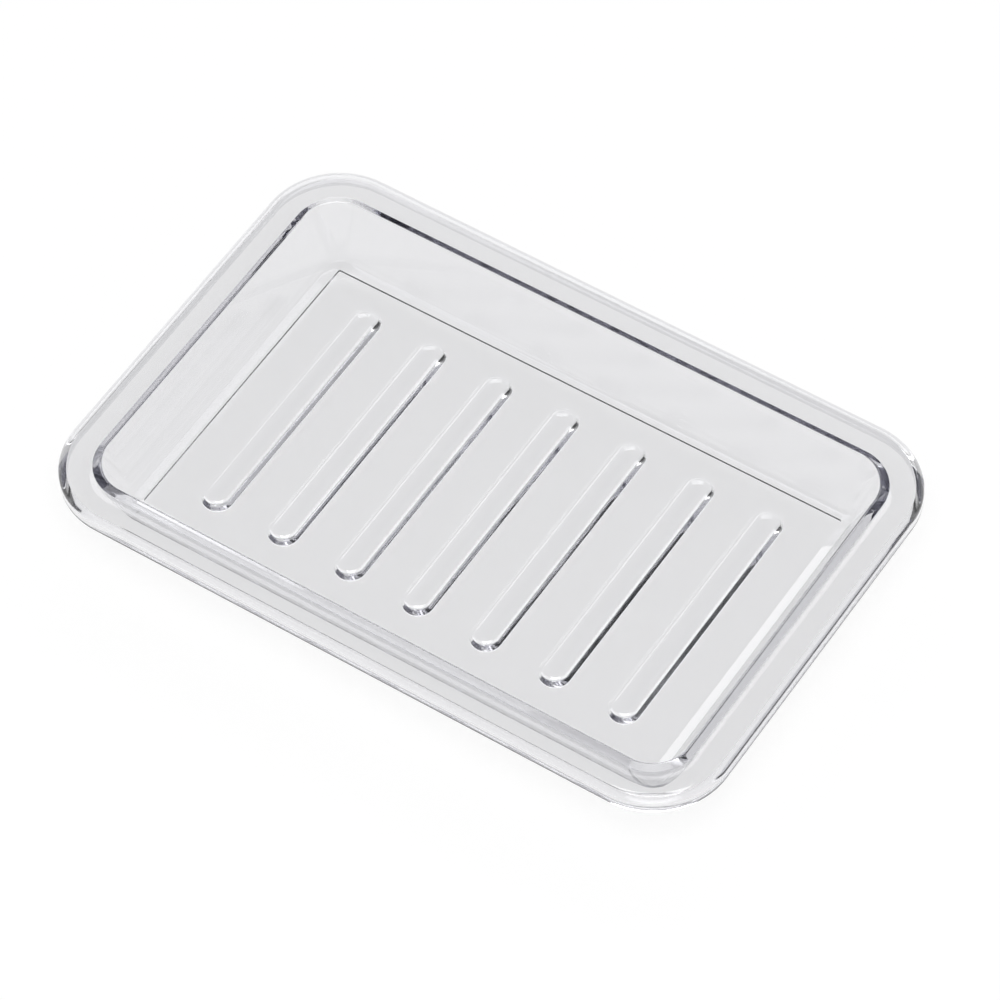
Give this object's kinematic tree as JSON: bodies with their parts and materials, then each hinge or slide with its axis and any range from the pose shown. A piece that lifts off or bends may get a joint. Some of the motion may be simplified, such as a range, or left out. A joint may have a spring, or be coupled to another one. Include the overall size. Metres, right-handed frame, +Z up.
{
  "type": "soap dish",
  "caption": "Shallow clear plastic soap dish: rectangular tray with rounded corners, leaning sides, a wide turned-down rim and raised drain ribs across the floor.",
  "frame": {"origin": "on the table, under the middle of the tray", "axes": "+X along the length, +Y along the ribs, +Z up"},
  "size_m": [0.1334, 0.0888, 0.0133],
  "materials": {
    "clear_plastic": "polished moulding, water-clear with a faint cool tint"
  },
  "bodies": {
    "root": {"tray": "clear_plastic", "drain_rib_1": "clear_plastic", "drain_rib_2": "clear_plastic", "drain_rib_3": "clear_plastic", "drain_rib_4": "clear_plastic", "drain_rib_5": "clear_plastic", "drain_rib_6": "clear_plastic", "drain_rib_7": "clear_plastic"}
  },
  "joints": []
}
